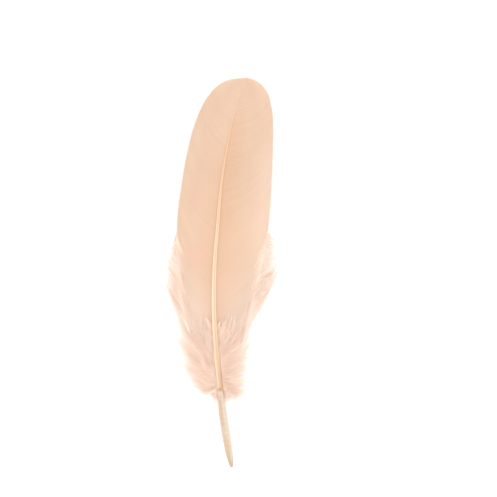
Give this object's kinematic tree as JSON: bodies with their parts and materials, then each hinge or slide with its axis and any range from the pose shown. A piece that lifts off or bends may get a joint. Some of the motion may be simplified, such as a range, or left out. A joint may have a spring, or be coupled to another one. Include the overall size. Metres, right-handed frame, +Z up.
{
  "type": "goose quill feather",
  "caption": "Dyed goose quill feather lying flat with its underside up: bare quill, curved shaft, two broad rounded vanes and loose down at its foot.",
  "frame": {"origin": "on the surface that the feather lies on, under the middle of its bounding box", "axes": "+Y from the quill's end to the tip, +X across the feather to the right seen from above, +Z up, out of the feather's underside"},
  "size_m": [0.0546, 0.18, 0.0124],
  "materials": {
    "vane": "soft matt barbs, dyed peach",
    "quill": "smooth horn, cream gold, darker and see-through at the bare quill",
    "down": "fluffy down, pale pinkish peach"
  },
  "bodies": {
    "root": {"feather": "vane"}
  },
  "joints": []
}
